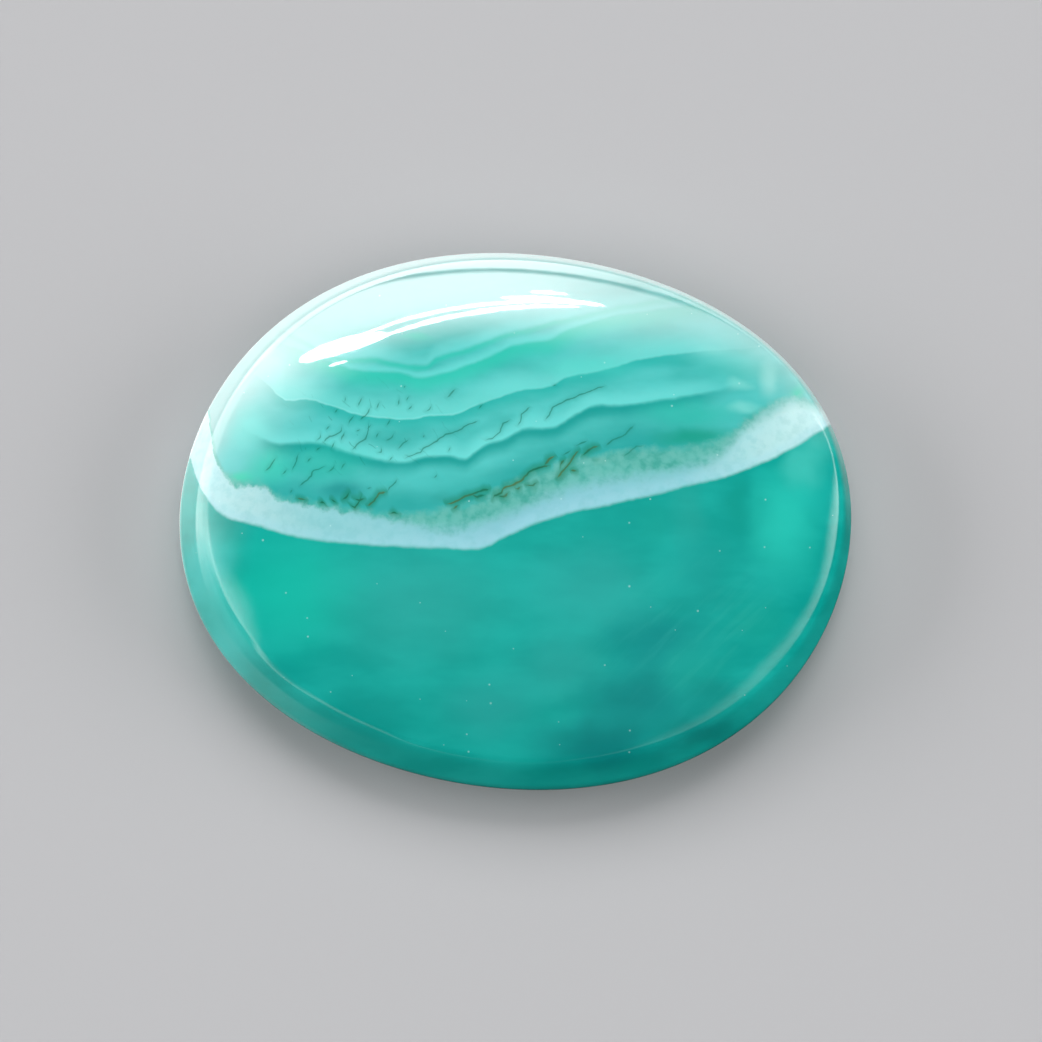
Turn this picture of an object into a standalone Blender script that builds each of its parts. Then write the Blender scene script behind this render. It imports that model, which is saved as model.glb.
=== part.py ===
"""A polished oval agate: one low-domed stone with a rounded shoulder, a narrow side and a flat back.

Blender 4.5, metres, +Z up. The stone lies on its flat back at z = 0, with X along its length and the
origin under the middle of its outline.
"""

import math

import bmesh
import bpy

# Driving dimensions
LENGTH = 0.02315
WIDTH = 0.01932
HEIGHT = 0.00465

# The outline is an ellipse, drawn out a little towards four soft corners
CORNER_SWELL = 0.0105
CORNER_TURN = math.radians(34.0)

# Heights of the side: the widest line, and where the side would meet the dome
GIRDLE_HEIGHT = 0.00168
SHOULDER_HEIGHT = 0.00284
SHOULDER_INSET = 0.00068
SHOULDER_BLEND = 0.00036
# The side was ground wider at -X than at +X, so the dome stands off centre
DOME_SHIFT = 0.00029

# The dome falls from its top as (distance from the top) ** DOME_POWER
DOME_POWER = 2.6

# Roundings in cross-section: above the girdle, below it, and at the rim of the flat back
UPPER_GIRDLE_RADIUS = 0.00060
LOWER_GIRDLE_RADIUS = 0.00130
LOWER_GIRDLE_TURN = math.radians(50.0)
BACK_RIM_RADIUS = 0.00022

# Fineness of the faceted solid
STEPS_AROUND = 112
UPPER_GIRDLE_STEPS = 3
SHOULDER_STEPS = 8
DOME_STEPS = 11
LOWER_GIRDLE_STEPS = 4
BACK_RIM_STEPS = 2

STONE_COLOUR = (0.035, 0.46, 0.38, 1.0)
STONE_ROUGHNESS = 0.06


def clear_scene():
    for obj in list(bpy.data.objects):
        bpy.data.objects.remove(obj)


def outline_point(turn):
    """The widest line seen from above."""
    swell = 1.0 + CORNER_SWELL * math.cos(4.0 * (turn - CORNER_TURN))
    return (0.5 * LENGTH * swell * math.cos(turn), 0.5 * WIDTH * swell * math.sin(turn))


def outline_normal(turn):
    """The outline's outward direction, from two points close beside this one."""
    step = 1e-4
    ahead = outline_point(turn + step)
    behind = outline_point(turn - step)
    along = (ahead[0] - behind[0], ahead[1] - behind[1])
    length = math.hypot(*along)
    return (along[1] / length, -along[0] / length)


def inset_point(turn, inset):
    """A point that far inside the outline. Insets past the shoulder shift it with the dome."""
    x, y = outline_point(turn)
    nx, ny = outline_normal(turn)
    shift = DOME_SHIFT * max(0.0, min(1.0, inset / SHOULDER_INSET))
    return (x - inset * nx + shift, y - inset * ny)


def side_angle():
    """How far the side leans in above the girdle, from upright."""
    rise = SHOULDER_HEIGHT - GIRDLE_HEIGHT
    return math.atan2(SHOULDER_INSET, rise)


def side_height(inset):
    """The side, as a straight slope that runs on up past the shoulder."""
    lean = side_angle()
    start_inset = UPPER_GIRDLE_RADIUS * (1.0 - math.cos(lean))
    start_height = GIRDLE_HEIGHT + UPPER_GIRDLE_RADIUS * math.sin(lean)
    return start_height + (inset - start_inset) / math.tan(lean)


def dome_height(share):
    """The dome at a share of the way out from its top to the shoulder."""
    rise = HEIGHT - SHOULDER_HEIGHT
    return SHOULDER_HEIGHT + rise * (1.0 - share**DOME_POWER)


def soft_lower(first, second, width):
    """The lower of two heights, blended smoothly where they are within the width of each other."""
    overlap = max(width - abs(first - second), 0.0) / width
    return min(first, second) - overlap**3 * width / 6.0


def lower_profile():
    """(inset, height) pairs from the flat back out and up to the girdle."""
    slope = 0.5 * math.pi - LOWER_GIRDLE_TURN
    bevel_top_inset = LOWER_GIRDLE_RADIUS * (1.0 - math.cos(LOWER_GIRDLE_TURN))
    bevel_top_height = GIRDLE_HEIGHT - LOWER_GIRDLE_RADIUS * math.sin(LOWER_GIRDLE_TURN)
    corner_inset = bevel_top_inset + bevel_top_height / math.tan(slope)
    tangent = BACK_RIM_RADIUS * math.tan(0.5 * slope)
    centre_inset = corner_inset + tangent
    profile = []
    for step in range(BACK_RIM_STEPS + 1):
        angle = slope * step / BACK_RIM_STEPS
        profile.append((
            centre_inset - BACK_RIM_RADIUS * math.sin(angle),
            BACK_RIM_RADIUS * (1.0 - math.cos(angle)),
        ))
    for step in range(LOWER_GIRDLE_STEPS + 1):
        angle = LOWER_GIRDLE_TURN * (1.0 - step / LOWER_GIRDLE_STEPS)
        profile.append((
            LOWER_GIRDLE_RADIUS * (1.0 - math.cos(angle)),
            GIRDLE_HEIGHT - LOWER_GIRDLE_RADIUS * math.sin(angle),
        ))
    return profile


def upper_rings():
    """Rings of (inset, share, height) from just above the girdle up to the dome's top.

    A ring is the outline moved in by the inset, then drawn in to the dome's middle by the share.
    """
    lean = side_angle()
    rings = []
    for step in range(1, UPPER_GIRDLE_STEPS + 1):
        angle = lean * step / UPPER_GIRDLE_STEPS
        rings.append((
            UPPER_GIRDLE_RADIUS * (1.0 - math.cos(angle)),
            1.0,
            GIRDLE_HEIGHT + UPPER_GIRDLE_RADIUS * math.sin(angle),
        ))
    first_inset = rings[-1][0]
    mean_radius = 0.25 * (LENGTH + WIDTH) - SHOULDER_INSET
    for step in range(1, SHOULDER_STEPS + 1):
        inset = first_inset + (2.0 * SHOULDER_INSET - first_inset) * step / SHOULDER_STEPS
        beyond = inset - SHOULDER_INSET
        flat_share = 1.0 - beyond / mean_radius
        height = soft_lower(side_height(inset), dome_height(flat_share), SHOULDER_BLEND)
        if beyond <= 0.0:
            rings.append((inset, 1.0, height))
        else:
            rings.append((SHOULDER_INSET, flat_share, height))
    last_share = rings[-1][1]
    for step in range(1, DOME_STEPS):
        share = last_share * (1.0 - step / DOME_STEPS)
        rings.append((SHOULDER_INSET, share, dome_height(share)))
    return rings


def ring_points(inset, share, height):
    """One level ring of points round the stone."""
    points = []
    for step in range(STEPS_AROUND):
        x, y = inset_point(math.tau * step / STEPS_AROUND, inset)
        points.append((DOME_SHIFT + share * (x - DOME_SHIFT), share * y, height))
    return points


def stone_mesh():
    """Rings bridged from the flat back to the top of the dome."""
    mesh = bmesh.new()
    levels = [(inset, 1.0, height) for inset, height in lower_profile()]
    levels += upper_rings()
    rings = [[mesh.verts.new(point) for point in ring_points(*level)] for level in levels]
    mesh.faces.new(reversed(rings[0]))
    for low, high in zip(rings, rings[1:]):
        for step in range(STEPS_AROUND):
            after = (step + 1) % STEPS_AROUND
            mesh.faces.new((low[step], low[after], high[after], high[step]))
    top = mesh.verts.new((DOME_SHIFT, 0.0, HEIGHT))
    for step in range(STEPS_AROUND):
        mesh.faces.new((rings[-1][step], rings[-1][(step + 1) % STEPS_AROUND], top))
    return mesh


def stone_material():
    material = bpy.data.materials.new("polished_agate")
    material.use_nodes = True
    shader = material.node_tree.nodes["Principled BSDF"]
    shader.inputs["Base Color"].default_value = STONE_COLOUR
    shader.inputs["Roughness"].default_value = STONE_ROUGHNESS
    shader.inputs["Metallic"].default_value = 0.0
    return material


def make_stone():
    mesh = bpy.data.meshes.new("agate")
    shape = stone_mesh()
    shape.to_mesh(mesh)
    shape.free()
    mesh.materials.append(stone_material())
    mesh.shade_smooth()
    mesh.set_sharp_from_angle(angle=math.radians(30.0))
    stone = bpy.data.objects.new("agate", mesh)
    bpy.context.scene.collection.objects.link(stone)
    return stone


clear_scene()
make_stone()
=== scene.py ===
"""The looks of a polished oval agate: its fine surface, its layered stone, and a plain studio around it.

Blender 4.5, metres, +Z up. The stone lies on its flat back at z = 0, with X along its length.
"""

import math

import bmesh
import bpy
from mathutils import Matrix, Vector, noise


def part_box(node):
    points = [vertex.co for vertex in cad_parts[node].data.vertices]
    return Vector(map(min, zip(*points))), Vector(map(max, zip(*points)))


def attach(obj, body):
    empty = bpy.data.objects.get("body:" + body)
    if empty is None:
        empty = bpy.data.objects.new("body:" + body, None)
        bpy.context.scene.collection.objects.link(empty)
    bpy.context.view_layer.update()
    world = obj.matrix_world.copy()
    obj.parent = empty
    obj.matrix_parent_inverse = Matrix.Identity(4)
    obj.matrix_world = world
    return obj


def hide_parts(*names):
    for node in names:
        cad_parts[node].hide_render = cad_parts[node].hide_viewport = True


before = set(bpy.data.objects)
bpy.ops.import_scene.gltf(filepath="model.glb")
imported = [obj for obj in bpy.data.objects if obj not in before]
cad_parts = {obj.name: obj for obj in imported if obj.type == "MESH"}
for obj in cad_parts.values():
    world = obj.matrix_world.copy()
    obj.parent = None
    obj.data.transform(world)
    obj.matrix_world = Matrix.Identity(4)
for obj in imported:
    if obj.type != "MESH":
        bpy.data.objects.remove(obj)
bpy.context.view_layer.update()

MM = 0.001

# The solid's own values, in metres, with its overall size taken from the frame
LOW, HIGH = (Vector(corner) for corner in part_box("agate"))
CORNER_SWELL = 0.0105
CORNER_TURN = math.radians(34.0)
END_SWELL = 1.0 + CORNER_SWELL * math.cos(4.0 * CORNER_TURN)
LENGTH = (HIGH.x - LOW.x) / END_SWELL
WIDTH = (HIGH.y - LOW.y) / END_SWELL
HEIGHT = HIGH.z - LOW.z
GIRDLE_HEIGHT = 0.00168
SHOULDER_HEIGHT = 0.00284
SHOULDER_INSET = 0.00068
SHOULDER_BLEND = 0.00036
DOME_SHIFT = 0.00029
DOME_POWER = 2.6
UPPER_GIRDLE_RADIUS = 0.00060
LOWER_GIRDLE_RADIUS = 0.00130
LOWER_GIRDLE_TURN = math.radians(50.0)
BACK_RIM_RADIUS = 0.00022

# Fineness of the visible mesh
STEPS_AROUND = 384
UPPER_GIRDLE_STEPS = 10
SHOULDER_STEPS = 30
DOME_STEPS = 60
LOWER_GIRDLE_STEPS = 14
BACK_RIM_STEPS = 6
BACK_STEPS = 10

# The polish follows the hand, so the dome is a few thousandths of a millimetre off true
POLISH_WAVE = 0.000006
POLISH_WAVE_LENGTH = 0.0042

# The camera looks along this line, and the layers in the stone run along it too
VIEW_TURN = math.radians(4.2)
VIEW_RISE = math.radians(72.0)
ACROSS = Vector((math.cos(VIEW_TURN), math.sin(VIEW_TURN), 0.0))
TOWARDS_CAMERA = Vector((
    math.sin(VIEW_TURN) * math.cos(VIEW_RISE),
    -math.cos(VIEW_TURN) * math.cos(VIEW_RISE),
    math.sin(VIEW_RISE),
))
UP = TOWARDS_CAMERA.cross(ACROSS)
# How far up the view the middle of the outline lies from the origin
OUTLINE_MIDDLE = 0.475 * MM

# The camera, in the 1042-pixel picture
PICTURE = 1042
LENS = 135.0
SENSOR = 36.0
NEAREST = 0.001
FARTHEST = 10.0
FRAME_WIDTH = 36.14 * MM
DISTANCE = FRAME_WIDTH * LENS / SENSOR
TARGET = ACROSS * (0.19 * MM) + UP * (OUTLINE_MIDDLE - 0.14 * MM)
EYE = TARGET + TOWARDS_CAMERA * DISTANCE


# The shape


def outline_point(turn):
    """The widest line seen from above."""
    swell = 1.0 + CORNER_SWELL * math.cos(4.0 * (turn - CORNER_TURN))
    return (0.5 * LENGTH * swell * math.cos(turn), 0.5 * WIDTH * swell * math.sin(turn))


def outline_normal(turn):
    """The outline's outward direction, from two points close beside this one."""
    step = 1e-4
    ahead = outline_point(turn + step)
    behind = outline_point(turn - step)
    along = (ahead[0] - behind[0], ahead[1] - behind[1])
    length = math.hypot(*along)
    return (along[1] / length, -along[0] / length)


def inset_point(turn, inset):
    """A point that far inside the outline. Insets past the shoulder shift it with the dome."""
    x, y = outline_point(turn)
    nx, ny = outline_normal(turn)
    shift = DOME_SHIFT * max(0.0, min(1.0, inset / SHOULDER_INSET))
    return (x - inset * nx + shift, y - inset * ny)


def side_angle():
    """How far the side leans in above the girdle, from upright."""
    return math.atan2(SHOULDER_INSET, SHOULDER_HEIGHT - GIRDLE_HEIGHT)


def side_height(inset):
    """The side, as a straight slope that runs on up past the shoulder."""
    lean = side_angle()
    start_inset = UPPER_GIRDLE_RADIUS * (1.0 - math.cos(lean))
    start_height = GIRDLE_HEIGHT + UPPER_GIRDLE_RADIUS * math.sin(lean)
    return start_height + (inset - start_inset) / math.tan(lean)


def dome_height(share):
    """The dome at a share of the way out from its top to the shoulder."""
    return SHOULDER_HEIGHT + (HEIGHT - SHOULDER_HEIGHT) * (1.0 - share**DOME_POWER)


def soft_lower(first, second, width):
    """The lower of two heights, blended smoothly where they are within the width of each other."""
    overlap = max(width - abs(first - second), 0.0) / width
    return min(first, second) - overlap**3 * width / 6.0


def lower_rings():
    """Rings of (inset, share, height) from the middle of the flat back out and up to the girdle."""
    slope = 0.5 * math.pi - LOWER_GIRDLE_TURN
    bevel_top_inset = LOWER_GIRDLE_RADIUS * (1.0 - math.cos(LOWER_GIRDLE_TURN))
    bevel_top_height = GIRDLE_HEIGHT - LOWER_GIRDLE_RADIUS * math.sin(LOWER_GIRDLE_TURN)
    corner_inset = bevel_top_inset + bevel_top_height / math.tan(slope)
    centre_inset = corner_inset + BACK_RIM_RADIUS * math.tan(0.5 * slope)
    rings = [(centre_inset, step / BACK_STEPS, 0.0) for step in range(1, BACK_STEPS)]
    for step in range(BACK_RIM_STEPS + 1):
        angle = slope * step / BACK_RIM_STEPS
        inset = centre_inset - BACK_RIM_RADIUS * math.sin(angle)
        rings.append((inset, 1.0, BACK_RIM_RADIUS * (1.0 - math.cos(angle))))
    for step in range(LOWER_GIRDLE_STEPS + 1):
        angle = LOWER_GIRDLE_TURN * (1.0 - step / LOWER_GIRDLE_STEPS)
        inset = LOWER_GIRDLE_RADIUS * (1.0 - math.cos(angle))
        rings.append((inset, 1.0, GIRDLE_HEIGHT - LOWER_GIRDLE_RADIUS * math.sin(angle)))
    return rings


def upper_rings():
    """Rings of (inset, share, height) from just above the girdle up to the dome's top."""
    lean = side_angle()
    rings = []
    for step in range(1, UPPER_GIRDLE_STEPS + 1):
        angle = lean * step / UPPER_GIRDLE_STEPS
        inset = UPPER_GIRDLE_RADIUS * (1.0 - math.cos(angle))
        rings.append((inset, 1.0, GIRDLE_HEIGHT + UPPER_GIRDLE_RADIUS * math.sin(angle)))
    first_inset = rings[-1][0]
    mean_radius = 0.25 * (LENGTH + WIDTH) - SHOULDER_INSET
    for step in range(1, SHOULDER_STEPS + 1):
        inset = first_inset + (2.0 * SHOULDER_INSET - first_inset) * step / SHOULDER_STEPS
        flat_share = 1.0 - (inset - SHOULDER_INSET) / mean_radius
        height = soft_lower(side_height(inset), dome_height(flat_share), SHOULDER_BLEND)
        rings.append((min(inset, SHOULDER_INSET), min(flat_share, 1.0), height))
    last_share = rings[-1][1]
    for step in range(1, DOME_STEPS):
        share = last_share * (1.0 - step / DOME_STEPS)
        rings.append((SHOULDER_INSET, share, dome_height(share)))
    return rings


def polish_wave(point):
    """How far the hand-polished surface stands off the true one at a point."""
    return POLISH_WAVE * noise.noise(point / POLISH_WAVE_LENGTH)


def ring_points(inset, share, height):
    """One ring of points round the stone. The flat back stays true."""
    points = []
    for step in range(STEPS_AROUND):
        x, y = inset_point(math.tau * step / STEPS_AROUND, inset)
        point = Vector((DOME_SHIFT + share * (x - DOME_SHIFT), share * y, height))
        if height > 0.0:
            outwards = Vector((x, y, 2.0 * height)).normalized()
            point += outwards * polish_wave(point)
        points.append(point)
    return points


def stone_mesh():
    """Rings bridged from the middle of the flat back, round the side, to the top of the dome."""
    mesh = bmesh.new()
    levels = lower_rings() + upper_rings()
    rings = [[mesh.verts.new(point) for point in ring_points(*level)] for level in levels]
    bottom = mesh.verts.new((DOME_SHIFT, 0.0, 0.0))
    top = mesh.verts.new((DOME_SHIFT, 0.0, HEIGHT))
    for step in range(STEPS_AROUND):
        after = (step + 1) % STEPS_AROUND
        mesh.faces.new((rings[0][after], rings[0][step], bottom))
        mesh.faces.new((rings[-1][step], rings[-1][after], top))
        for low, high in zip(rings, rings[1:]):
            mesh.faces.new((low[step], low[after], high[after], high[step]))
    return mesh


def make_stone():
    """The fine mesh that is shown in the solid's place."""
    mesh = bpy.data.meshes.new("agate_stone")
    shape = stone_mesh()
    shape.to_mesh(mesh)
    shape.free()
    mesh.shade_smooth()
    mesh.materials.append(stone_material())
    stone = bpy.data.objects.new("agate_stone", mesh)
    bpy.context.scene.collection.objects.link(stone)
    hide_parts("agate")
    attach(stone, "root")
    return stone


# Shader nodes


def linear(value):
    """The share of light that a usual 0 to 255 value stands for."""
    share = value / 255.0
    if share <= 0.04045:
        return share / 12.92
    return ((share + 0.055) / 1.055) ** 2.4


def colour(red, green, blue):
    return [linear(red), linear(green), linear(blue), 1.0]


class Nodes:
    """Adds nodes to one tree. Each call gives back the socket that carries its result."""

    def __init__(self, tree):
        self.tree = tree

    def add(self, kind, inputs=None, **settings):
        node = self.tree.nodes.new(kind)
        for name, value in settings.items():
            setattr(node, name, value)
        for key, value in (inputs or {}).items():
            if isinstance(value, bpy.types.NodeSocket):
                self.tree.links.new(value, node.inputs[key])
            else:
                node.inputs[key].default_value = value
        return node

    def math(self, operation, *values):
        return self.add("ShaderNodeMath", dict(enumerate(values)), operation=operation).outputs[0]

    def vector(self, operation, *values):
        node = self.add("ShaderNodeVectorMath", dict(enumerate(values)), operation=operation)
        return node.outputs["Value" if operation in ("DOT_PRODUCT", "LENGTH") else "Vector"]

    def point(self, x, y, z=0.0):
        return self.add("ShaderNodeCombineXYZ", {"X": x, "Y": y, "Z": z}).outputs[0]

    def blend(self, value, start, end, low=0.0, high=1.0):
        """Smoothly from low, where the value is at start, to high, where it is at end."""
        inputs = {"Value": value, "From Min": start, "From Max": end, "To Min": low, "To Max": high}
        return self.add("ShaderNodeMapRange", inputs, interpolation_type="SMOOTHSTEP").outputs[0]

    def mix(self, share, first, second):
        """A colour between two, at a share from 0 to 1. The sockets' names repeat, so they go by number."""
        node = self.add("ShaderNodeMix", {0: share, 6: first, 7: second}, data_type="RGBA")
        return node.outputs[2]

    def split(self, vector):
        return self.add("ShaderNodeSeparateXYZ", {"Vector": vector}).outputs

    def turned(self, place, angle):
        """The place turned in the plane that the camera sees."""
        inputs = {"Vector": place, "Angle": angle}
        return self.add("ShaderNodeVectorRotate", inputs, rotation_type="Z_AXIS").outputs[0]

    def cells(self, place, scale):
        """A flat pattern of scattered cells, with this many to the millimetre."""
        inputs = {"Vector": place, "Scale": scale, "Randomness": 1.0}
        return self.add("ShaderNodeTexVoronoi", inputs, voronoi_dimensions="2D").outputs

    def noise(self, place, scale, detail=2.0, roughness=0.5, stretch=(1.0, 1.0, 1.0)):
        """Noise from about 0 to 1, with this many waves to the millimetre."""
        inputs = {
            "Vector": self.vector("MULTIPLY", place, stretch),
            "Scale": scale,
            "Detail": detail,
            "Roughness": roughness,
        }
        return self.add("ShaderNodeTexNoise", inputs).outputs["Fac"]

    def ramp(self, value, stops):
        """Colours along a value from 0 to 1, each stop being (value, colour)."""
        node = self.add("ShaderNodeValToRGB", {"Fac": value})
        elements = node.color_ramp.elements
        while len(elements) < len(stops):
            elements.new(0.5)
        for element, (place, tint) in zip(elements, stops):
            element.position = place
            element.color = tint
        return node.outputs["Color"]

    def curve(self, share, points, reach, most, handles):
        """A curve through (value, result) points. It takes and gives shares from 0 to 1, which stand for
        values from -reach to reach and results from -most to most."""
        node = self.add("ShaderNodeFloatCurve", {"Value": share})
        drawn = node.mapping.curves[0].points
        while len(drawn) < len(points):
            drawn.new(0.5, 0.5)
        for point, (x, y) in zip(drawn, points):
            point.location = (0.5 + 0.5 * x / reach, 0.5 + 0.5 * y / most)
            point.handle_type = handles
        node.mapping.extend = "HORIZONTAL"
        node.mapping.update()
        return node.outputs[0]

    def profile(self, value, points, reach, most):
        """A smooth curve through (value, result) points, for values to reach and results to most."""
        share = self.math("MULTIPLY_ADD", value, 0.5 / reach, 0.5)
        share = self.curve(share, points, reach, most, "AUTO_CLAMPED")
        return self.math("MULTIPLY_ADD", share, 2.0 * most, -most)


# The stone's layers. Each edge is a list of points of the picture, in its pixels, from left to right

WHITE_BOTTOM = [
    (171, 399), (193, 471), (206, 496), (221, 513), (256, 525), (301, 537), (367, 544), (440, 548),
    (476, 549), (484, 547), (500, 539), (541, 521), (615, 503), (672, 490), (741, 471), (787, 450),
    (823, 429), (860, 407),
]
WHITE_TOP = [
    (171, 335), (203, 399), (210, 437), (219, 469), (231, 483), (239, 489), (247, 486), (261, 488),
    (282, 500), (314, 506), (360, 514), (397, 521), (440, 529), (494, 519), (520, 510), (547, 497),
    (601, 482), (654, 474), (708, 461), (726, 450), (752, 424), (779, 408), (796, 402), (815, 407),
    (860, 388),
]
GRAINY_TOP = [
    (171, 329), (203, 394), (212, 433), (221, 467), (235, 482), (261, 485), (282, 498), (314, 504),
    (360, 511), (397, 516), (430, 512), (480, 503), (500, 490), (541, 472), (580, 460), (638, 450),
    (695, 447), (729, 436), (752, 416), (779, 402), (796, 398), (816, 402), (860, 382),
]
DARK_LINE = [
    (171, 306), (215, 391), (238, 424), (262, 439), (279, 445), (311, 444), (349, 453), (384, 461),
    (402, 463), (431, 456), (451, 456), (464, 459), (474, 453), (486, 445), (504, 440), (523, 430),
    (557, 426), (574, 416), (596, 406), (629, 405), (652, 402), (697, 394), (749, 383), (860, 364),
]
PALE_LINE = [
    (171, 288), (224, 350), (267, 384), (280, 396), (288, 400), (304, 399), (331, 406), (350, 412),
    (383, 417), (410, 419), (433, 415), (453, 415), (476, 405), (494, 399), (520, 391), (553, 385),
    (566, 377), (596, 372), (642, 359), (676, 354), (749, 347), (860, 329),
]
GREEN_BAND = [
    (171, 265), (253, 329), (323, 358), (355, 370), (382, 372), (404, 374), (420, 378), (438, 374),
    (460, 368), (494, 354), (514, 345), (537, 341), (551, 339), (562, 332), (592, 321), (647, 310),
    (749, 298), (860, 283),
]
TOP_BAND = [
    (171, 250), (300, 338), (353, 359), (371, 358), (393, 362), (411, 365), (424, 365), (433, 358),
    (470, 347), (500, 335), (532, 327), (555, 320), (571, 316), (650, 300), (860, 270),
]
# The lower edge of the painted reflection of the studio's back light over the top of the dome
REFLECTED_HAZE_BOTTOM = [
    (171, 520), (200, 480), (222, 445), (250, 403), (285, 374), (320, 352), (400, 332), (450, 323),
    (520, 318), (600, 318), (650, 325), (700, 338), (750, 356), (790, 378), (820, 400), (860, 430),
]
EDGES = (WHITE_BOTTOM, WHITE_TOP, GRAINY_TOP, DARK_LINE, PALE_LINE, GREEN_BAND, TOP_BAND, REFLECTED_HAZE_BOTTOM)
# The edges are drawn this far out from the middle, in millimetres, both across and up
EDGE_REACH = 13.0
# Waves to the millimetre: the wide and the small ones that move the markings about, the white layer's
# grain, and the soft streaks in the whole stone
COARSE_WAVES = 0.7
SMALL_WAVES = 3.5
GRAIN_WAVES = 2.4
STREAK_WAVES = 0.55
STREAK_STRETCH = (0.6, 1.5, 0.6)

# Colours, from 0 to 255
CLEAR_DEEP = (4, 154, 144)
CLEAR_PALE = (22, 170, 160)
FIBRE_COLOUR = (58, 182, 170)
BANDED_DEEP = (60, 174, 168)
BANDED_PALE = (84, 194, 190)
THIN_LINE_COLOUR = (132, 220, 216)
# The pale grey of the painted reflection of the studio's back light
REFLECTED_HAZE_COLOUR = (142, 182, 180)
GRAIN_DEEP = (68, 160, 146)
GRAIN_PALE = (102, 180, 170)
WHITE_FOOT = (160, 214, 224)
WHITE_VEIN = (104, 182, 186)
CRACK_COLOUR = (10, 106, 78)
STAIN_HALO_COLOUR = (22, 128, 96)
STAIN_GREEN = (18, 96, 60)
STAIN_BROWN = (86, 106, 44)
SPECK_COLOUR = (196, 234, 232)

# Soft clouds in the clear part: middle and half size in the picture's pixels, colour and strength. The dark
# ones low on the right, reaching over the shoulder onto the side, are partly the stone's own deeper teal and
# partly painted shade
CLOUDS_AND_PAINTED_SHADE = [
    ((290, 590), (95, 80), (14, 184, 164), 0.80),
    ((205, 570), (34, 60), (78, 206, 200), 0.55),
    ((228, 645), (36, 60), (64, 194, 188), 0.55),
    ((420, 600), (110, 75), (44, 164, 156), 0.60),
    ((590, 590), (90, 60), (44, 164, 158), 0.60),
    ((560, 665), (60, 45), (42, 160, 154), 0.50),
    ((490, 705), (60, 44), (38, 162, 156), 0.60),
    ((655, 640), (66, 44), (2, 132, 132), 0.70),
    # Partly painted shade: these two darken the lower right down over the shoulder and side
    ((640, 700), (76, 48), (2, 122, 122), 0.72),
    ((600, 745), (84, 34), (2, 116, 116), 0.75),
    ((690, 515), (22, 42), (34, 160, 150), 0.50),
    ((738, 500), (18, 46), (4, 150, 138), 0.80),
    ((655, 520), (24, 30), (16, 160, 148), 0.60),
    ((785, 520), (45, 70), (40, 196, 180), 0.80),
    ((805, 460), (26, 34), (76, 202, 190), 0.60),
    ((690, 665), (34, 40), (24, 164, 152), 0.50),
    # Partly painted shade: these two darken the lower right rim outside the shoulder
    ((712, 695), (34, 26), (6, 126, 120), 0.50),
    ((700, 730), (50, 26), (2, 112, 108), 0.60),
    ((700, 575), (40, 55), (16, 148, 142), 0.50),
    ((760, 620), (34, 34), (14, 160, 146), 0.60),
    ((360, 720), (70, 40), (12, 146, 138), 0.50),
]

# Coloured patches above the white layer, in the same way. The pale ones at the upper right are painted
# reflection of the studio's haze
PATCHES_AND_PAINTED_REFLECTION = [
    ((690, 414), (62, 20), (46, 182, 168), 0.70),
    ((694, 437), (50, 12), (12, 152, 130), 0.80),
    ((345, 488), (32, 14), (22, 140, 138), 0.75),
    ((442, 500), (18, 9), (46, 158, 150), 0.70),
    ((560, 476), (9, 6), (96, 140, 112), 0.80),
    ((600, 461), (14, 5), (96, 150, 122), 0.75),
    ((500, 494), (18, 8), (60, 168, 148), 0.60),
    # Painted reflection: these four pale patches carry the studio's haze down to the white layer at the upper
    # right
    ((712, 352), (22, 8), (130, 218, 212), 0.30),
    ((768, 380), (13, 22), (170, 230, 224), 0.38),
    ((738, 385), (16, 8), (140, 222, 214), 0.50),
    ((745, 408), (20, 8), (140, 222, 214), 0.50),
    ((735, 366), (44, 22), (80, 200, 192), 0.45),
    ((797, 392), (9, 10), (56, 196, 166), 0.70),
    ((240, 478), (22, 9), (40, 200, 168), 0.80),
    ((268, 468), (30, 24), (60, 204, 182), 0.60),
    ((250, 430), (26, 30), (96, 212, 204), 0.60),
    ((415, 337), (20, 5), (60, 190, 170), 0.60),
    ((580, 365), (60, 14), (84, 208, 196), 0.50),
    ((325, 463), (60, 22), (44, 186, 170), 0.50),
    ((430, 480), (70, 20), (76, 192, 188), 0.50),
]

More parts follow.
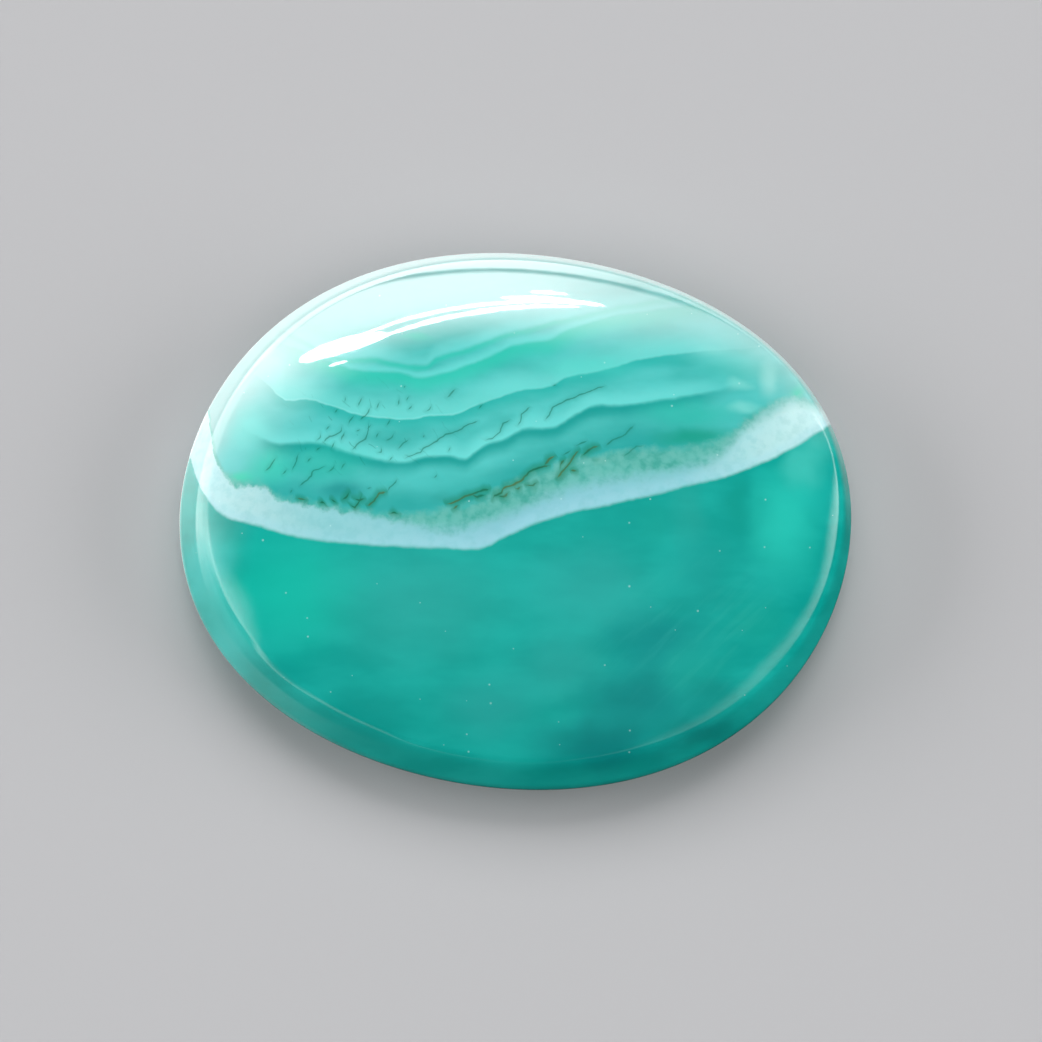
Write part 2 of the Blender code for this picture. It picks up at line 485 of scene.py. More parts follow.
# Fine healed cracks, and those with brown stain in them: points of the picture along each one, upwards
CRACKS = [
    [(344, 403), (346, 395)],
    [(357, 408), (363, 396)],
    [(376, 410), (380, 401)],
    [(404, 389), (406, 385)],
    [(397, 407), (399, 401), (399, 396)],
    [(406, 401), (410, 395)],
    [(424, 413), (429, 410), (432, 404)],
    [(407, 411), (413, 404)],
    [(446, 399), (457, 387)],
    [(359, 421), (362, 418), (368, 412), (371, 406)],
    [(348, 426), (351, 420), (355, 415)],
    [(322, 443), (329, 436), (336, 435), (341, 430), (342, 425)],
    [(326, 431), (331, 425)],
    [(315, 441), (319, 438), (321, 431)],
    [(340, 442), (343, 435), (346, 430)],
    [(331, 450), (333, 446), (335, 441)],
    [(351, 452), (354, 448), (359, 443), (365, 439), (368, 430), (369, 421)],
    [(356, 432), (361, 429)],
    [(376, 439), (380, 431)],
    [(384, 441), (392, 438), (395, 432)],
    [(423, 438), (425, 434)],
    [(397, 450), (404, 443), (410, 438)],
    [(376, 453), (381, 452), (382, 446)],
    [(448, 453), (450, 446)],
    [(404, 459), (414, 454), (420, 452), (425, 448), (436, 441), (445, 435), (459, 430), (479, 420)],
    [(291, 472), (297, 459), (299, 453)],
    [(306, 463), (312, 456)],
    [(327, 473), (333, 468), (335, 463)],
    [(299, 487), (305, 481), (311, 476), (314, 470), (327, 466)],
    [(281, 476), (287, 468)],
    [(289, 494), (293, 489)],
    [(434, 479), (438, 473)],
    [(386, 492), (396, 482), (398, 478)],
    [(367, 489), (372, 487)],
    [(264, 472), (270, 466), (277, 456)],
    [(484, 440), (492, 438), (500, 432), (504, 423), (511, 419)],
    [(517, 427), (521, 422), (522, 414), (531, 406)],
    [(544, 421), (548, 416), (552, 408), (565, 401), (582, 394), (593, 390), (606, 385)],
    [(477, 409), (484, 403)],
    [(552, 386), (557, 384)],
    [(562, 456), (566, 453), (572, 449)],
    [(575, 446), (589, 440)],
    [(605, 447), (612, 441), (625, 435), (635, 424)],
    [(623, 457), (631, 451), (636, 446), (645, 445)],
    [(366, 430), (372, 424)],
    [(386, 427), (391, 418)],
    [(334, 414), (338, 408)],
    [(316, 452), (321, 446)],
    [(388, 462), (394, 456)],
    [(340, 470), (346, 462)],
]
STAINED_CRACKS = [
    [(341, 500), (346, 498), (350, 491)],
    [(346, 500), (350, 505), (355, 508), (358, 504), (362, 494)],
    [(365, 505), (369, 505), (374, 500), (379, 493), (387, 491)],
    [(318, 503), (323, 502), (328, 507)],
    [(296, 498), (307, 500)],
    [(390, 514), (395, 512), (400, 514)],
    [(445, 503), (450, 504), (457, 501), (466, 496), (479, 492), (490, 488)],
    [(452, 510), (459, 505)],
    [
        (492, 501), (494, 495), (501, 494), (504, 488), (508, 486), (519, 482), (525, 476),
        (535, 469), (550, 465),
    ],
    [(524, 484), (533, 486), (538, 482)],
    [(556, 479), (565, 469), (569, 463), (580, 449)],
    [(570, 471), (578, 471)],
    [(581, 457), (588, 450), (600, 445)],
    [(496, 496), (503, 497), (510, 492)],
    [(512, 485), (517, 489), (522, 487)],
    [(543, 467), (549, 459), (556, 455)],
    [(560, 473), (561, 464), (566, 458)],
    [(470, 494), (478, 497), (486, 495)],
    [(352, 497), (359, 500), (366, 499)],
    [(330, 499), (337, 503)],
]
# How far each kind leans to the right of level
CRACK_LEAN = math.radians(45.0)
STAINED_LEAN = math.radians(20.0)
# In millimetres: half of each kind's width, and how far its halo reaches
CRACK_WIDTH = 0.042
STAINED_WIDTH = 0.065
HALO_REACH = 0.30
# In millimetres: a crack's pointed ends, its halo's ends, and the least space between two in a row
POINT_LENGTH = 0.15
HALO_END = 0.1
CRACK_SPACE = 0.25
CRACK_STRENGTH = 0.55
CRACK_HALO = 0.25
STAIN_STRENGTH = 0.8
STAIN_HALO = 0.6
# The finest ones: their lean and how far it varies, the cells to the millimetre that hold one each, the share
# of cells without one, half of their greatest length and of their width in millimetres
CRAZE_LEAN = math.radians(56.0)
CRAZE_SPREAD = 0.45
CRAZE_CELLS = 1.7
CRAZE_GAPS = 0.35
CRAZE_LENGTH = 0.42
CRAZE_WIDTH = 0.024
CRAZE_STRENGTH = 0.8
# The finest cracks and the slanting fibres each show in one part of the picture: its middle and half size
CRAZE_MIDDLE = (365, 430)
CRAZE_HALF_SIZE = (110, 60)
FIBRE_MIDDLE = (700, 640)
FIBRE_HALF_SIZE = (140, 100)
FIBRE_LEAN = -0.75
FIBRE_WAVES = 0.9
FIBRE_STRETCH = (0.5, 3.2, 0.6)
# A patch starts this far out and is full this far out, in shares of its half size
PATCH_FADE = (1.15, 0.1)
# Cracks and specks start at the lower of these heights and are full at the upper, so the side has none
FACE_HEIGHTS = (2.2 * MM, 3.0 * MM)
# Specks: how many cells to the millimetre, and the share of cells without one
SPECK_CELLS = 1.3
SPECK_GAPS = 0.87
# In millimetres: the radius of the smallest speck, how much larger they get, and their full white core
SPECK_SMALLEST = 0.022
SPECK_SPREAD = 0.045
SPECK_CORE = 0.015
SPECK_STRENGTH = 0.45
# In millimetres: how far the wide and the small waves move the layers' edges, and how far the clouds,
# the patches and the cracks are moved about
EDGE_DRIFT = 0.09
EDGE_TREMOR = 0.03
CLOUD_DRIFT = 0.5
PATCH_DRIFT = 0.3
CRACK_TREMOR = 0.06


def on_stone(x, y):
    """Where the camera sees a point of the picture on the dome, as (across, up) in millimetres."""
    step = FRAME_WIDTH / PICTURE
    ray = ACROSS * ((x - 0.5 * PICTURE) * step) - UP * ((y - 0.5 * PICTURE) * step)
    ray -= TOWARDS_CAMERA * DISTANCE
    height = HEIGHT
    # Each round comes closer to where the ray meets the dome
    for _ in range(5):
        point = EYE + ray * ((height - EYE.z) / ray.z)
        share = math.hypot(
            (point.x - DOME_SHIFT) / (0.5 * LENGTH - SHOULDER_INSET),
            point.y / (0.5 * WIDTH - SHOULDER_INSET),
        )
        height = dome_height(min(share, 1.0))
    return (point.dot(ACROSS) / MM, (point.dot(UP) - OUTLINE_MIDDLE) / MM)


def pattern_place(nodes):
    """(across, up, along) in millimetres in the stone: along is the way the layers run through it."""
    place = nodes.add("ShaderNodeTexCoord").outputs["Object"]
    across = nodes.vector("DOT_PRODUCT", place, ACROSS / MM)
    up = nodes.vector("DOT_PRODUCT", place, UP / MM)
    along = nodes.vector("DOT_PRODUCT", place, TOWARDS_CAMERA / MM)
    up = nodes.math("SUBTRACT", up, OUTLINE_MIDDLE / MM)
    return nodes.point(across, up, along)


def drift(nodes, place, scale, detail):
    """Soft noise from -1 to 1 in each direction, with this many waves to the millimetre."""
    inputs = {"Vector": place, "Scale": scale, "Detail": detail}
    noise_colour = nodes.add("ShaderNodeTexNoise", inputs).outputs["Color"]
    return nodes.vector("MULTIPLY_ADD", noise_colour, (2.0, 2.0, 2.0), (-1.0, -1.0, -1.0))


def moved(nodes, place, drifting, reach):
    """The place moved about by the drift, by up to the reach in millimetres."""
    return nodes.vector("MULTIPLY_ADD", drifting, (reach, reach, reach), place)


def line(nodes, height, edge, width):
    """1 on a layer's edge, down to 0 at this distance from it."""
    away = nodes.math("ABSOLUTE", nodes.math("SUBTRACT", height, edge))
    return nodes.blend(away, width, 0.0)


def beside(nodes, height, edge, sharp, reach):
    """1 along an edge, gone at the reach: below the edge, or above it if the reach is negative."""
    depth = nodes.math("SUBTRACT", edge, height)
    if reach < 0.0:
        depth = nodes.math("SUBTRACT", height, edge)
    start = nodes.blend(depth, -sharp, sharp)
    return nodes.math("MULTIPLY", start, nodes.blend(depth, abs(reach), sharp))


def past(nodes, height, edge, start, end):
    """From 0 to 1 as the height goes from start to end, both counted up from the edge."""
    return nodes.blend(height, nodes.math("ADD", edge, start), nodes.math("ADD", edge, end))


def patch(nodes, place, middle, half_size, strength=1.0):
    """The strength in the middle of an oval given in the picture's pixels, fading to 0 at its rim."""
    across, up = on_stone(*middle)
    right, _ = on_stone(middle[0] + half_size[0], middle[1])
    _, top = on_stone(middle[0], middle[1] - half_size[1])
    scale = (1.0 / (right - across), 1.0 / (top - up), 0.0)
    away = nodes.vector("MULTIPLY_ADD", place, scale, (-across * scale[0], -up * scale[1], 0.0))
    return nodes.blend(nodes.vector("LENGTH", away), *PATCH_FADE, 0.0, strength)


def patches(nodes, place, body, spots):
    """The body with coloured patches over it, one after another."""
    for middle, half_size, tint, strength in spots:
        body = nodes.mix(patch(nodes, place, middle, half_size, strength), body, colour(*tint))
    return body


def crack_rows(paths, lean):
    """The cracks shared out into rows in which none overlap, each as points (along the lean, off it)."""
    turn = Matrix.Rotation(-lean, 2)
    cracks = sorted([list(turn @ Vector(on_stone(*point))) for point in path] for path in paths)
    rows = []
    for crack in cracks:
        free = [row for row in rows if row[-1][-1][0] + CRACK_SPACE < crack[0][0]]
        if free:
            free[0].append(crack)
        else:
            rows.append([crack])
    return rows


def crack_depth(nodes, place, paths, lean, width):
    """How deep inside a crack each place is, in millimetres: up to the width, and below 0 outside it.

    One curve follows the middles of all the cracks in a row, and another one gives their widths.
    """
    split = nodes.split(nodes.turned(place, -lean))
    rows = crack_rows(paths, lean)
    ends = [point[0] for row in rows for crack in row for point in crack]
    middle = 0.5 * (min(ends) + max(ends))
    reach = 0.5 * (max(ends) - min(ends)) + 0.5
    share = nodes.math("MULTIPLY_ADD", split["X"], 0.5 / reach, 0.5 - 0.5 * middle / reach)
    lifted = nodes.math("ADD", split["Y"], EDGE_REACH)
    deepest = 0.0
    for row in rows:
        route = [(along - middle, off) for crack in row for along, off in crack]
        widths = []
        for crack in row:
            first, last = crack[0][0] - middle, crack[-1][0] - middle
            taper = min(POINT_LENGTH, 0.4 * (last - first))
            widths += [(first - HALO_END, -HALO_REACH), (first, 0.0), (first + taper, width)]
            widths += [(last - taper, width), (last, 0.0), (last + HALO_END, -HALO_REACH)]
        off = nodes.curve(share, route, reach, EDGE_REACH, "VECTOR")
        away = nodes.math("ABSOLUTE", nodes.math("MULTIPLY_ADD", off, -2.0 * EDGE_REACH, lifted))
        wide = nodes.curve(share, widths, reach, HALO_REACH, "VECTOR")
        wide = nodes.math("MULTIPLY", wide, 2.0 * HALO_REACH)
        deepest = nodes.math("MAXIMUM", deepest, nodes.math("SUBTRACT", wide, away))
    return nodes.math("SUBTRACT", deepest, HALO_REACH)


def craze(nodes, place):
    """Short leaning strokes, one in most cells of a pattern."""
    turned = nodes.turned(place, CRAZE_LEAN)
    cell = nodes.cells(turned, CRAZE_CELLS)
    own = nodes.split(cell["Color"])
    offset = nodes.vector("SUBTRACT", turned, cell["Position"])
    lean = nodes.math("MULTIPLY_ADD", own["X"], 2.0 * CRAZE_SPREAD, -CRAZE_SPREAD)
    stroke = nodes.split(nodes.turned(offset, lean))
    reach = nodes.math("MULTIPLY", own["Y"], CRAZE_LENGTH)
    from_middle = nodes.math("DIVIDE", nodes.math("ABSOLUTE", stroke["X"]), reach)
    ends = nodes.blend(from_middle, 1.0, 0.6)
    sides = nodes.blend(nodes.math("ABSOLUTE", stroke["Y"]), CRAZE_WIDTH, 0.0)
    there = nodes.math("GREATER_THAN", own["Z"], CRAZE_GAPS)
    return nodes.math("MULTIPLY", nodes.math("MULTIPLY", ends, sides), there)


def clear_part(nodes, place, streaks, cloudy):
    """Below the white layer: clear teal with soft clouds, the dark ones low on the right partly painted
    shade, and a few slanting fibres.
    """
    body = nodes.mix(nodes.blend(streaks, 0.3, 0.7), colour(*CLEAR_DEEP), colour(*CLEAR_PALE))
    body = patches(nodes, cloudy, body, CLOUDS_AND_PAINTED_SHADE)
    slanted = nodes.turned(place, FIBRE_LEAN)
    fibres = nodes.noise(slanted, FIBRE_WAVES, 2.0, 0.6, FIBRE_STRETCH)
    fibres = nodes.blend(fibres, 0.48, 0.75, 0.0, 0.16)
    fibres = nodes.math("MULTIPLY", fibres, patch(nodes, place, FIBRE_MIDDLE, FIBRE_HALF_SIZE))
    return nodes.mix(fibres, body, colour(*FIBRE_COLOUR))


def banded_part(nodes, cloudy, across, up, streaks, edges):
    """Above the white layer: paler aqua, shaded beside each thin band, with a painted reflection along the
    upper edge.
    """
    grainy_top, dark_line, pale_line, green_band, top_band, reflected_haze_bottom = edges
    body = nodes.mix(nodes.blend(streaks, 0.3, 0.7), colour(*BANDED_DEEP), colour(*BANDED_PALE))
    # Beside each band: edge, how softly it starts, its reach (negative is upwards), colour, strength
    shades = [
        (grainy_top, 0.20, -1.50, colour(16, 154, 150), 0.60),
        (dark_line, 0.08, -0.75, colour(110, 214, 210), 0.80),
        (dark_line, 0.10, 0.62, colour(8, 150, 144), 0.85),
        (pale_line, 0.05, 0.60, colour(36, 174, 166), 0.75),
        (pale_line, 0.05, -1.20, colour(112, 214, 208), 0.70),
        (green_band, 0.10, 0.85, colour(44, 192, 172), 0.80),
        (green_band, 0.08, -0.40, colour(108, 214, 208), 0.60),
        (top_band, 0.08, 0.30, colour(50, 192, 174), 0.75),
        (top_band, 0.10, -0.60, colour(112, 212, 208), 0.60),
    ]
    # The bands fade away before they reach the two ends of the stone
    inside = nodes.math("MULTIPLY", nodes.blend(across, -9.6, -8.0), nodes.blend(across, 8.8, 4.6))
    for edge, sharp, reach, tint, strength in shades:
        share = nodes.math("MULTIPLY", beside(nodes, up, edge, sharp, reach), strength)
        share = nodes.math("MULTIPLY", share, inside)
        body = nodes.mix(share, body, tint)
    from_left = nodes.blend(across, -8.8, -7.8)
    there = nodes.math("MULTIPLY", from_left, nodes.blend(across, 1.5, -3.0, 0.15, 1.0))
    thin = nodes.math("MULTIPLY", line(nodes, up, pale_line, 0.06), nodes.math("MULTIPLY", there, 0.55))
    body = nodes.mix(thin, body, colour(*THIN_LINE_COLOUR))
    # Painted reflection of the studio's back light: pale grey along the upper edge, less so towards the right
    reflected_haze = past(nodes, up, reflected_haze_bottom, -0.9, 1.2)
    reflected_haze = nodes.math("MULTIPLY", reflected_haze, nodes.blend(across, 0.0, 8.0, 0.75, 0.45))
    body = nodes.mix(reflected_haze, body, colour(*REFLECTED_HAZE_COLOUR))
    return patches(nodes, cloudy, body, PATCHES_AND_PAINTED_REFLECTION)


def white_part(nodes, place, wavy, across, up, edges, body):
    """The white layer, sharp below and ragged above, with a granular margin on its upper side."""
    white_bottom, white_top, grainy_top = edges
    grain = nodes.noise(place, GRAIN_WAVES, 3.0, 0.62)
    beads = nodes.cells(wavy, GRAIN_WAVES)["Distance"]
    mottle = nodes.math("MULTIPLY_ADD", grain, 0.7, nodes.math("MULTIPLY", beads, -0.30))
    grainy = nodes.mix(nodes.blend(mottle, 0.02, 0.34), colour(*GRAIN_DEEP), colour(*GRAIN_PALE))
    ragged_grain = nodes.math("MULTIPLY_ADD", grain, 0.55, nodes.math("SUBTRACT", grainy_top, 0.27))
    below_grain = past(nodes, up, ragged_grain, 0.22, -0.16)
    above_bottom = past(nodes, up, white_bottom, -0.09, 0.10)
    grainy_share = nodes.math("MULTIPLY", nodes.math("MULTIPLY", above_bottom, below_grain), 0.85)
    body = nodes.mix(grainy_share, body, grainy)

    # The upper edge is crisp at the left end and melts away towards the right
    soft = nodes.blend(across, -7.0, 0.0, 0.10, 0.36)
    ragged = nodes.math("MULTIPLY_ADD", grain, 0.6, nodes.math("SUBTRACT", white_top, 0.30))
    top, foot = nodes.math("ADD", ragged, soft), nodes.math("SUBTRACT", ragged, soft)
    below_top = nodes.blend(up, top, foot)

    # Whitest at its two ends
    share = nodes.math("MULTIPLY_ADD", across, 0.5 / EDGE_REACH, 0.5)
    white = nodes.ramp(share, [
        (0.08, colour(178, 220, 222)),
        (0.16, colour(172, 216, 218)),
        (0.25, colour(142, 202, 206)),
        (0.5, colour(138, 196, 208)),
        (0.72, colour(136, 198, 206)),
        (0.80, colour(168, 216, 218)),
        (0.86, colour(190, 228, 228)),
        (0.92, colour(190, 228, 228)),
    ])
    bluer = nodes.math("MULTIPLY", past(nodes, up, white_bottom, 0.5, 0.1), 0.35)
    white = nodes.mix(bluer, white, colour(*WHITE_FOOT))
    veins = nodes.blend(grain, 0.42, 0.68, 0.0, 0.22)
    white = nodes.mix(veins, white, colour(*WHITE_VEIN))
    return nodes.mix(nodes.math("MULTIPLY", above_bottom, below_top), body, white)


def cracked(nodes, place, coarse, small, on_face, body):
    """The body with its healed cracks: the fine ones, then those with brown stain in them."""
    crooked = moved(nodes, place, small, CRACK_TREMOR)
    depth = crack_depth(nodes, crooked, CRACKS, CRACK_LEAN, CRACK_WIDTH)
    zone = patch(nodes, place, CRAZE_MIDDLE, CRAZE_HALF_SIZE, CRAZE_STRENGTH)
    hairs = nodes.math("MULTIPLY", craze(nodes, crooked), zone)
    fine = nodes.math("MAXIMUM", nodes.blend(depth, 0.0, CRACK_WIDTH), hairs)
    halo = nodes.blend(depth, -0.5 * HALO_REACH, CRACK_WIDTH, 0.0, CRACK_HALO)
    fine = nodes.math("MULTIPLY", nodes.math("ADD", fine, halo), on_face)
    body = nodes.mix(nodes.math("MULTIPLY", fine, CRACK_STRENGTH), body, colour(*CRACK_COLOUR))

    depth = crack_depth(nodes, crooked, STAINED_CRACKS, STAINED_LEAN, STAINED_WIDTH)
    halo = nodes.blend(depth, -0.8 * HALO_REACH, STAINED_WIDTH, 0.0, STAIN_HALO)
    body = nodes.mix(nodes.math("MULTIPLY", halo, on_face), body, colour(*STAIN_HALO_COLOUR))
    stained = nodes.math("MULTIPLY", nodes.blend(depth, 0.0, STAINED_WIDTH), on_face)
    mottled = nodes.split(coarse)["Z"]
    stain = nodes.mix(nodes.blend(mottled, -0.3, 0.3), colour(*STAIN_GREEN), colour(*STAIN_BROWN))
    return nodes.mix(nodes.math("MULTIPLY", stained, STAIN_STRENGTH), body, stain)


def specked(nodes, place, on_face, body):
    """The body with tiny white specks, one in a few of the cells of a pattern."""
    cell = nodes.cells(place, SPECK_CELLS)
    own = nodes.split(cell["Color"])
    size = nodes.math("MULTIPLY_ADD", own["Y"], SPECK_SPREAD, SPECK_SMALLEST)
    speck = nodes.blend(cell["Distance"], size, SPECK_CORE)
    speck = nodes.math("MULTIPLY", speck, nodes.math("GREATER_THAN", own["X"], SPECK_GAPS))
    speck = nodes.math("MULTIPLY", speck, on_face)
    return nodes.mix(nodes.math("MULTIPLY", speck, SPECK_STRENGTH), body, colour(*SPECK_COLOUR))


def stone_colour(nodes, place):
    """The clear part, the bands, the white layer between them, the cracks and the specks."""
    coarse = drift(nodes, place, COARSE_WAVES, 2.0)
    small = drift(nodes, place, SMALL_WAVES, 1.0)
    wavy = moved(nodes, moved(nodes, place, coarse, EDGE_DRIFT), small, EDGE_TREMOR)
    across, up, _ = nodes.split(wavy)
    edges = []
    for points in EDGES:
        edge = [on_stone(*point) for point in points]
        edges.append(nodes.profile(across, edge, EDGE_REACH, EDGE_REACH))

    streaks = nodes.noise(place, STREAK_WAVES, 3.0, 0.5, STREAK_STRETCH)
    clear = clear_part(nodes, place, streaks, moved(nodes, place, coarse, CLOUD_DRIFT))
    cloudy = moved(nodes, place, coarse, PATCH_DRIFT)
    banded = banded_part(nodes, cloudy, across, up, streaks, edges[2:])
    body = nodes.mix(past(nodes, up, edges[0], -0.02, 0.02), clear, banded)
    body = white_part(nodes, place, wavy, across, up, edges[:3], body)

    height = nodes.split(nodes.add("ShaderNodeTexCoord").outputs["Object"])["Z"]
    on_face = nodes.blend(height, *FACE_HEIGHTS)
    on_face = nodes.math("MULTIPLY", on_face, nodes.blend(streaks, 0.2, 0.5, 0.6, 1.0))
    body = cracked(nodes, place, coarse, small, on_face, body)
    return specked(nodes, place, on_face, body)


# The stone's gloss, and how light spreads under its surface
STONE_IOR = 1.54
STONE_SHINE = 0.9
GLOW = 0.35
GLOW_COLOUR = (0.3, 1.0, 0.9)
GLOW_DEPTH = 0.5 * MM
# The least and the most roughness of the polish, and what the ground back adds to it
POLISH = (0.025, 0.05)
SATIN = (0.34, 0.46)
# How far off true the finest unevenness is, and how many times that on the polish and on the back
BUMP_STEP = 0.001 * MM
POLISH_BUMP = 0.8
GROUND_BUMP = 8.0


def stone_material():
    """Polished agate with its markings."""
    material = bpy.data.materials.new("layered_agate")
    material.use_nodes = True
    nodes = Nodes(material.node_tree)
    shader = material.node_tree.nodes["Principled BSDF"]
    place = pattern_place(nodes)
    material.node_tree.links.new(stone_colour(nodes, place), shader.inputs["Base Color"])

    # Glassy polish all over but the flat back, which was only ground
    normal = nodes.add("ShaderNodeNewGeometry").outputs["Normal"]
    ground = nodes.blend(nodes.split(normal)["Z"], -0.90, -0.98)
    uneven = nodes.noise(place, 2.2, 1.0, 0.6)
    satin = nodes.math("MULTIPLY", ground, nodes.blend(uneven, 0.3, 0.7, *SATIN))
    roughness = nodes.math("ADD", satin, nodes.blend(uneven, 0.3, 0.8, *POLISH))
    material.node_tree.links.new(roughness, shader.inputs["Roughness"])
    height = nodes.math("MULTIPLY_ADD", ground, GROUND_BUMP, POLISH_BUMP)
    height = nodes.math("MULTIPLY", uneven, height)
    bump = nodes.add("ShaderNodeBump", {"Height": height, "Distance": BUMP_STEP, "Strength": 1.0})
    material.node_tree.links.new(bump.outputs["Normal"], shader.inputs["Normal"])

    shader.inputs["IOR"].default_value = STONE_IOR
    shader.inputs["Specular IOR Level"].default_value = STONE_SHINE
    shader.inputs["Subsurface Weight"].default_value = GLOW
    shader.inputs["Subsurface Radius"].default_value = GLOW_COLOUR
    shader.inputs["Subsurface Scale"].default_value = GLOW_DEPTH
    return material


# The studio

# The floor stands this far above the flat back, so that the lamp below it lights the back
FLOOR_LIFT = 0.004 * MM
# The floor's other values, and how far off the lamps are
FLOOR_RADIUS = 1.5
FLOOR_SIDES = 96
FLOOR_COLOUR = (174, 174, 176)
FLOOR_ROUGHNESS = 0.9
LAMP_DISTANCE = 3.0


def make_floor():
    mesh = bpy.data.meshes.new("floor")
    shape = bmesh.new()
    bmesh.ops.create_circle(shape, cap_ends=True, segments=FLOOR_SIDES, radius=FLOOR_RADIUS)
    shape.to_mesh(mesh)
    shape.free()
    material = bpy.data.materials.new("pale_floor")
    material.use_nodes = True
    shader = material.node_tree.nodes["Principled BSDF"]
    shader.inputs["Base Color"].default_value = colour(*FLOOR_COLOUR)
    shader.inputs["Roughness"].default_value = FLOOR_ROUGHNESS
    mesh.materials.append(material)
    floor = bpy.data.objects.new("floor", mesh)
    bpy.context.scene.collection.objects.link(floor)
    floor.location.z = FLOOR_LIFT
    # The polish shows the dark studio below it, not the pale floor
    floor.visible_glossy = False


def direction(turn, rise):
    """A direction from the stone, in degrees: turn is to the right of the back, rise is above level."""
    turn, rise = math.radians(turn), math.radians(rise)
    return Vector((math.sin(turn) * math.cos(rise), math.cos(turn) * math.cos(rise), math.sin(rise)))


def add_lamp(name, start, end, thickness, brightness, mirrored):
    """An oval lamp seen from the stone between two (turn, rise) directions, this many degrees thick.

    A mirrored lamp only shows in the polish. The others only give the soft light all round.
    """
    start, end = direction(*start) * LAMP_DISTANCE, direction(*end) * LAMP_DISTANCE
    along = (end - start).normalized()
    place = 0.5 * (start + end)
    facing = -place.normalized()
    light = bpy.data.lights.new(name, "AREA")
    light.shape = "ELLIPSE"
    light.size = (end - start).length
    light.size_y = math.radians(thickness) * LAMP_DISTANCE
    area = 0.25 * math.pi * light.size * light.size_y
    light.energy = brightness * math.pi * area
    lamp = bpy.data.objects.new(name, light)
    lamp.matrix_world = Matrix((along, -facing.cross(along), -facing)).transposed().to_4x4()
    lamp.location = place
    lamp.visible_glossy = mirrored
    lamp.visible_diffuse = not mirrored
    lamp.visible_camera = False
    bpy.context.scene.collection.objects.link(lamp)


# How bright each zone of the studio is round the stone: (turn in degrees, brightness), 0 at the back
BACK_PANEL = [
    (-180, 0.0), (-60, 0.0), (-46, 1.2), (-36, 5.1), (-30, 5.5), (-12, 5.7), (-3, 5.4), (6, 3.9),
    (12, 3.0), (18, 2.5), (26, 2.4), (36, 2.3), (46, 1.2), (58, 0.0), (180, 0.0),
]
LEFT_WALL = [
    (-180, 0.0), (-140, 0.1), (-117, 0.4), (-98, 0.8), (-85, 2.8), (-76, 4.5), (-66, 4.4),
    (-50, 5.4), (-42, 4.3), (-34, 0.0), (180, 0.0),
]
LEFT_GROUND = [
    (-180, 0.0), (-150, 0.1), (-125, 0.6), (-96, 0.6), (-78, 1.6), (-64, 2.3), (-50, 3.0),
    (-30, 2.6), (0, 1.9), (30, 1.1), (50, 0.3), (70, 0.0), (180, 0.0),
]
HEM = [
    (-180, 0.1), (-150, 0.6), (-127, 1.1), (-112, 1.5), (-98, 2.2), (-90, 2.1), (-80, 1.5),
    (-70, 0.0), (38, 0.0), (46, 2.6), (58, 3.2), (69, 2.4), (81, 1.6), (95, 1.0), (125, 0.5),
    (158, 0.3), (180, 0.1),
]
# The hem is a band of light at this rise, and this far above and below it
HEM_RISE = [
    (-180, 20), (-163, 24), (-153, 36), (-141, 37), (-127, 31), (-108, 43), (-96, 41), (-80, 34),
    (0, 28), (49, 29), (58, 34), (69, 39), (81, 42), (95, 46), (108, 49), (139, 50), (158, 47),
    (180, 20),
]
HEM_REACH = [
    (-180, 3), (-141, 3), (-127, 7), (-108, 6), (-96, 8.5), (-80, 9), (-60, 6), (0, 3), (60, 2.5),
    (180, 3),
]
# The back panel's upper edge
BACK_TOP = [
    (-180, 36), (-12, 36), (6, 36), (12, 33.5), (19, 29), (28, 28), (38, 30), (55, 31), (180, 31),
]
BRIGHTEST = 10.0
# Other zones: the rise where each starts and the width of that edge, then the same for its end
BACK_STRIP = (-5.0, 4.0, 16.0, 1.5)
LEFT_ZONE = (-5.0, 4.0, 34.0, 32.0)
GROUND_ZONE = (-60.0, 60.0, -5.0, 4.0)
# The rise over which the back panel starts, and how far from its upper edge it ends
BACK_FOOT = (16.5, 18.5)
BACK_TOP_BLUR = (10.0, -9.0)
# The faint light overhead: the rises where it starts and is full, and its brightness at each
OVERHEAD = (38.0, 70.0, 0.02, 0.10)
# How much brighter the strip along the foot of the back panel is than the panel
STRIP_GAIN = 1.15
# The plain brightness behind the stone where the camera looks past the floor
BACKDROP = 0.6

# Lamps that show in the polish: name, where each starts and ends as (turn, rise), thickness and brightness
MIRRORED_LAMPS = [
    ("lamp_left", (-38.0, 31.0), (-23.0, 35.5), 4.4, 30.0),
    ("lamp_upper", (-30.0, 33.0), (6.0, 26.0), 0.9, 30.0),
    ("lamp_lower", (-26.0, 36.0), (4.0, 28.2), 1.2, 30.0),
    ("lamp_right", (-5.0, 27.6), (6.5, 26.0), 1.7, 30.0),
    ("lamp_small", (-35.0, 37.0), (-32.0, 38.5), 0.5, 30.0),
    ("lamp_spot", (-1.5, 24.8), (2.5, 24.2), 0.9, 30.0),
]
# Wide soft lamps that light the stone and the floor
SOFT_LAMPS = [
    ("soft_top", (-25.0, 72.0), (25.0, 72.0), 50.0, 3.3),
    ("soft_back", (-45.0, 42.0), (45.0, 42.0), 32.0, 3.3),
    ("soft_front", (-145.0, 45.0), (145.0, 45.0), 32.0, 2.1),
    ("soft_left", (-120.0, 20.0), (-65.0, 20.0), 28.0, 5.8),
    ("soft_right", (65.0, 20.0), (120.0, 20.0), 28.0, 5.2),
    ("soft_below", (-60.0, -60.0), (60.0, -60.0), 50.0, 4.6),
]


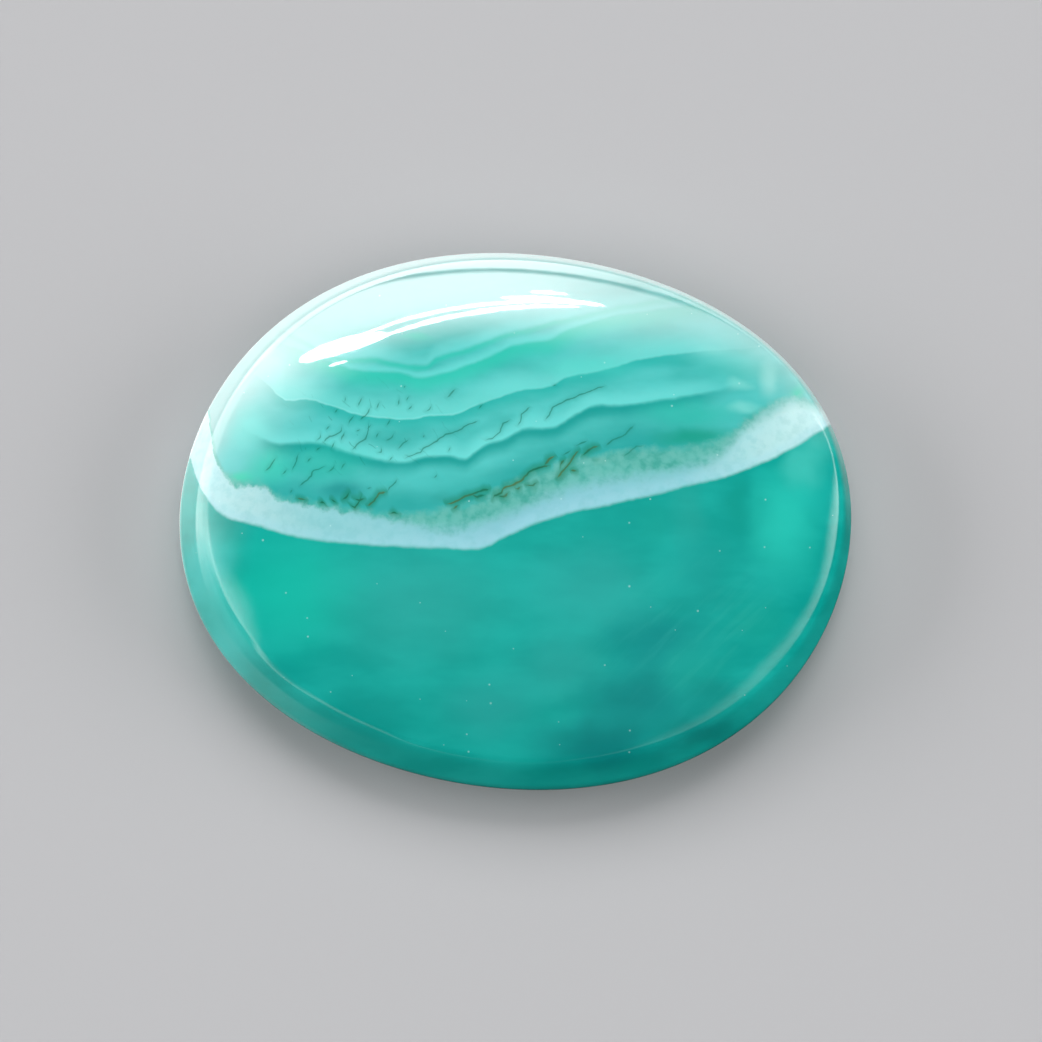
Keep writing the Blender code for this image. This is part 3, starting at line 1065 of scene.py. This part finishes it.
def make_world():
    """The studio round the stone, as the polish mirrors it. It gives no soft light of its own."""
    world = bpy.data.worlds.new("studio")
    bpy.context.scene.world = world
    world.cycles_visibility.diffuse = False
    world.cycles.sampling_method = "NONE"
    world.use_nodes = True
    nodes = Nodes(world.node_tree)
    background = world.node_tree.nodes["Background"]
    way = nodes.add("ShaderNodeTexCoord").outputs["Generated"]
    split = nodes.split(way)
    turn = nodes.math("DEGREES", nodes.math("ARCTAN2", split["X"], split["Y"]))
    rise = nodes.math("DEGREES", nodes.math("ARCSINE", split["Z"]))

    def around(points):
        return nodes.profile(turn, points, 180.0, BRIGHTEST)

    def rises(points):
        return nodes.profile(turn, points, 180.0, 90.0)

    def between(low, low_soft, high, high_soft):
        start = nodes.blend(rise, low - 0.5 * low_soft, low + 0.5 * low_soft)
        stop = nodes.blend(rise, high + 0.5 * high_soft, high - 0.5 * high_soft)
        return nodes.math("MULTIPLY", start, stop)

    from_top = nodes.math("SUBTRACT", rise, rises(BACK_TOP))
    back = nodes.math("MULTIPLY", nodes.blend(rise, *BACK_FOOT), nodes.blend(from_top, *BACK_TOP_BLUR))
    strip = nodes.math("MULTIPLY", between(*BACK_STRIP), STRIP_GAIN)
    back = nodes.math("MULTIPLY", nodes.math("ADD", back, strip), around(BACK_PANEL))
    left = nodes.math("MULTIPLY", between(*LEFT_ZONE), around(LEFT_WALL))
    ground = nodes.math("MULTIPLY", between(*GROUND_ZONE), around(LEFT_GROUND))
    from_hem = nodes.math("ABSOLUTE", nodes.math("SUBTRACT", rise, rises(HEM_RISE)))
    hem = nodes.math("MULTIPLY", nodes.blend(from_hem, rises(HEM_REACH), 0.0), around(HEM))
    above = nodes.blend(rise, *OVERHEAD)
    light = back
    for more in (left, ground, hem, above):
        light = nodes.math("ADD", light, more)
    seen = nodes.add("ShaderNodeLightPath").outputs["Is Camera Ray"]
    light = nodes.blend(seen, 0.0, 1.0, light, BACKDROP)
    background.inputs["Color"].default_value = (1.0, 1.0, 1.0, 1.0)
    world.node_tree.links.new(light, background.inputs["Strength"])


def make_camera():
    camera = bpy.data.cameras.new("camera")
    camera.lens = LENS
    camera.sensor_width = SENSOR
    camera.clip_start = NEAREST
    camera.clip_end = FARTHEST
    eye = bpy.data.objects.new("camera", camera)
    eye.location = EYE
    eye.rotation_mode = "QUATERNION"
    eye.rotation_quaternion = (-TOWARDS_CAMERA).to_track_quat("-Z", "Y")
    bpy.context.scene.collection.objects.link(eye)
    bpy.context.scene.camera = eye


make_stone()
make_floor()
make_world()
for lamp in MIRRORED_LAMPS:
    add_lamp(*lamp, mirrored=True)
for lamp in SOFT_LAMPS:
    add_lamp(*lamp, mirrored=False)
make_camera()
bpy.context.scene.view_settings.view_transform = "Standard"
